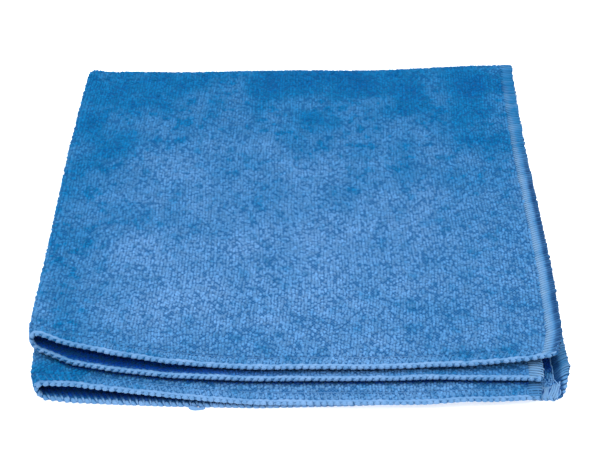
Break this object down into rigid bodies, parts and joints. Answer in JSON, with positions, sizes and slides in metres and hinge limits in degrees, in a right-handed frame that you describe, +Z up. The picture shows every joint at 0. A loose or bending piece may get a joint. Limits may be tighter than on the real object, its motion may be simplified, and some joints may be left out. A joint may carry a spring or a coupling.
{
  "type": "microfibre cloth",
  "caption": "Mid-blue microfibre terry cloth with overlocked hems, folded in quarters and lying flat on a surface.",
  "frame": {"origin": "centre of the footprint, on the surface that the cloth lies on", "axes": "+Z up through the four sheets, -Y towards the open hemmed front, -X towards the first fold, +X towards the hemmed side, +Y towards the second fold"},
  "size_m": [0.2062, 0.2099, 0.0186],
  "materials": {
    "terry_blue": "matt looped microfibre pile",
    "hem_thread": "pale blue overlock thread along the hems, soft sheen"
  },
  "bodies": {
    "root": {"cloth": "terry_blue"}
  },
  "joints": []
}
